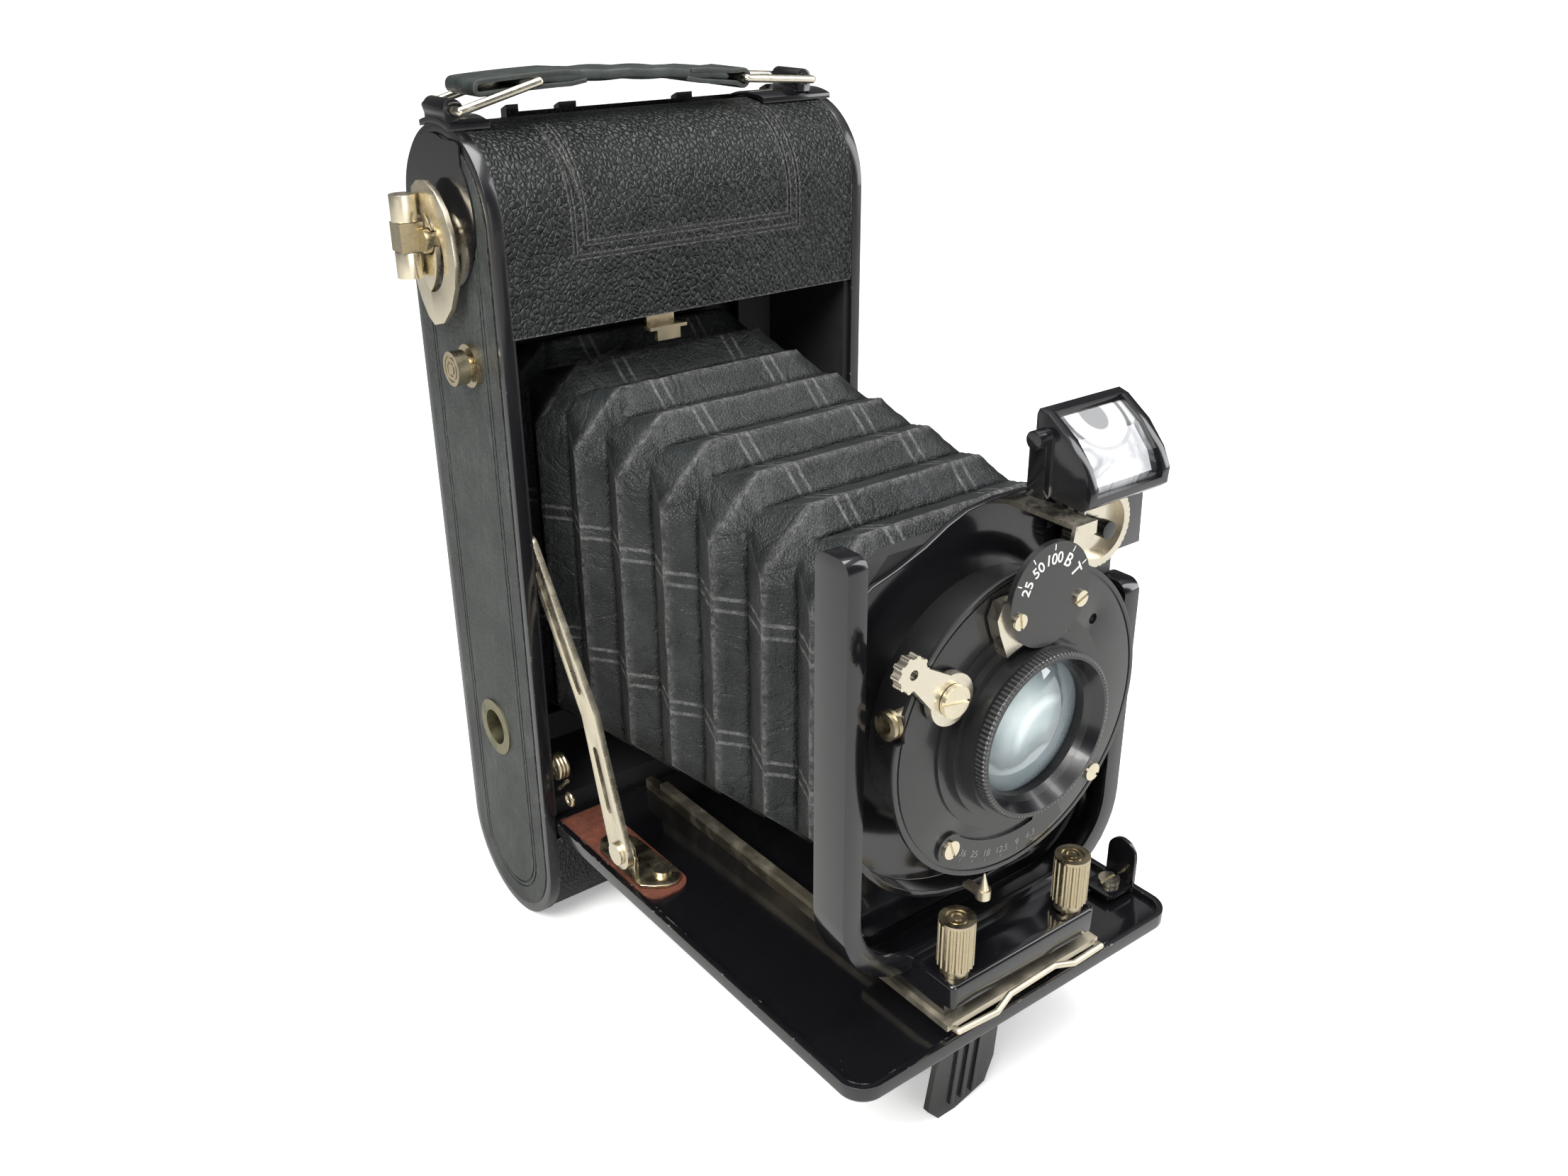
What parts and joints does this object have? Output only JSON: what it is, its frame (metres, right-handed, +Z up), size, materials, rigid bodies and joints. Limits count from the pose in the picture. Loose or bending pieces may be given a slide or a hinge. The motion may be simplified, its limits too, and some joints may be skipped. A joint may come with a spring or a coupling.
{
  "type": "folding bellows camera",
  "caption": "Folding roll-film camera, open: leather-covered body, bellows, lens standard with round shutter on a drop bed, swinging finder, carrying strap.",
  "frame": {"origin": "centre of the mouth of the tripod bush in the left side cap", "axes": "+X from the bush across the body to the other side cap, -Y out of the lens, +Z up the body"},
  "size_m": [0.0889, 0.1303, 0.1686],
  "materials": {
    "enamel": "gloss black stove enamel",
    "crackle_leather": "coarse pebbled black",
    "side_leather": "fine ribbed black, worn",
    "shell": "matt black",
    "nickel": "warm nickel plate",
    "brass": "aged, patina in the thread",
    "bellows_cloth": "matt leathercloth, worn ridges",
    "strap_leather": "worn black-green strap",
    "fibre": "red-brown fibre",
    "glass": "coated by age, clear",
    "red_glass": "ruby window",
    "mirror": "silvered",
    "wood": "spool core"
  },
  "bodies": {
    "camera_body": {"side_caps": "enamel", "side_leathers": "side_leather", "bearing_plate": "enamel", "front_leathers": "crackle_leather", "body_shell": "shell", "film_rollers": "nickel", "tripod_bush": "brass", "small_fittings": "nickel", "handle_strap": "strap_leather", "strap_rings": "nickel", "strap_lugs": "enamel", "door_hinge": "enamel", "bed": "enamel", "bed_leather": "crackle_leather", "bed_hinge_pin": "enamel", "bed_rails": "nickel", "struts": "nickel", "strut_brackets": "nickel", "bed_rivets": "nickel", "fibre_pads": "fibre", "bed_springs": "nickel", "foot_hinge": "enamel", "bellows": "bellows_cloth"},
    "winding_key": {"key_shaft": "nickel", "take_up_spool": "wood"},
    "key_wing": {"key_wing": "nickel"},
    "supply_spool": {"supply_spool": "wood"},
    "release_button": {"release_button": "nickel"},
    "door_latch": {"door_latch": "enamel"},
    "back_door": {"back_door": "shell", "door_leather": "crackle_leather", "red_window": "red_glass"},
    "window_cover": {"window_cover": "nickel"},
    "focus_lever": {"focus_lever": "enamel"},
    "foot": {"foot": "enamel"},
    "focus_track": {"focus_track": "nickel"},
    "lens_standard": {"standard_frame": "enamel", "carriage": "enamel", "lens_board": "enamel", "bellows_front_frame": "shell", "shutter_drum": "enamel", "shutter_face": "enamel", "lens_barrel": "enamel", "lens_ring": "enamel", "lenses": "glass", "speed_dial": "enamel", "dial_base": "nickel", "shutter_screws": "nickel", "cable_socket": "brass", "finder_bracket": "enamel"},
    "cocking_lever": {"cocking_lever": "nickel"},
    "aperture_pointer": {"aperture_pointer": "nickel"},
    "turning_wheel": {"turning_wheel": "nickel"},
    "finder": {"finder_body": "enamel", "finder_window": "glass", "finder_mirror": "mirror"},
    "knob_left": {"knob_left": "nickel"},
    "knob_right": {"knob_right": "nickel"}
  },
  "joints": [
    {"name": "focus_slide", "type": "slide", "parent": "camera_body", "child": "focus_track", "axis": [0, -1, 0], "range_m": [0, 0.004]},
    {"name": "focus_lever_turn", "type": "hinge", "parent": "camera_body", "child": "focus_lever", "pos_m": [0.0739, -0.0994, -0.0146], "axis": [0, 0, 1], "range_deg": [0, 95]},
    {"name": "standard_slide", "type": "slide", "parent": "focus_track", "child": "lens_standard", "axis": [0, 1, 0], "range_m": [0, 0.085], "deforming": ["bellows"]},
    {"name": "knob_left_squeeze", "type": "slide", "parent": "lens_standard", "child": "knob_left", "axis": [1, 0, 0], "range_m": [0, 0.0015], "stiffness_N_per_m": 200},
    {"name": "knob_right_squeeze", "type": "slide", "parent": "lens_standard", "child": "knob_right", "axis": [-1, 0, 0], "range_m": [0, 0.0015], "stiffness_N_per_m": 200},
    {"name": "cocking_turn", "type": "hinge", "parent": "lens_standard", "child": "cocking_lever", "pos_m": [0.0232, -0.1056, 0.0454], "axis": [0, -1, 0], "range_deg": [0, 28]},
    {"name": "aperture_turn", "type": "hinge", "parent": "lens_standard", "child": "aperture_pointer", "pos_m": [0.0405, -0.1033, 0.0345], "axis": [0, -1, 0], "range_deg": [0, 18]},
    {"name": "speed_wheel_turn", "type": "hinge", "parent": "lens_standard", "child": "turning_wheel", "pos_m": [0.0621, -0.098, 0.0601], "axis": [0, 1, 0], "range_deg": [0, 120]},
    {"name": "finder_swing", "type": "hinge", "parent": "lens_standard", "child": "finder", "pos_m": [0.0621, -0.0965, 0.0601], "axis": [0, -1, 0], "range_deg": [-90, 0]},
    {"name": "winding_key_turn", "type": "hinge", "parent": "camera_body", "child": "winding_key", "pos_m": [0.0005, 0, 0.0983], "axis": [1, 0, 0], "continuous": true},
    {"name": "key_wing_fold", "type": "hinge", "parent": "winding_key", "child": "key_wing", "pos_m": [-0.0053, 0.0034, 0.0988], "axis": [0, 0, -1], "range_deg": [0, 85]},
    {"name": "supply_spool_turn", "type": "hinge", "parent": "camera_body", "child": "supply_spool", "pos_m": [0.0405, 0, -0.0266], "axis": [1, 0, 0], "continuous": true},
    {"name": "release_push", "type": "slide", "parent": "camera_body", "child": "release_button", "axis": [1, 0, 0], "range_m": [0, 0.0007], "stiffness_N_per_m": 400},
    {"name": "latch_slide", "type": "slide", "parent": "camera_body", "child": "door_latch", "axis": [-1, 0, 0], "range_m": [0, 0.003]},
    {"name": "door_swing", "type": "hinge", "parent": "camera_body", "child": "back_door", "pos_m": [0.0405, 0.0165, -0.0296], "axis": [-1, 0, 0], "range_deg": [0, 100]},
    {"name": "window_slide", "type": "slide", "parent": "back_door", "child": "window_cover", "axis": [1, 0, 0], "range_m": [0, 0.0125]},
    {"name": "foot_fold", "type": "hinge", "parent": "camera_body", "child": "foot", "pos_m": [0.038, -0.1009, -0.02], "axis": [1, 0, 0], "range_deg": [0, 88]}
  ],
  "couplings": [
    {"joint": "focus_lever_turn", "follows": "focus_slide", "rad_per_m": 261}
  ]
}
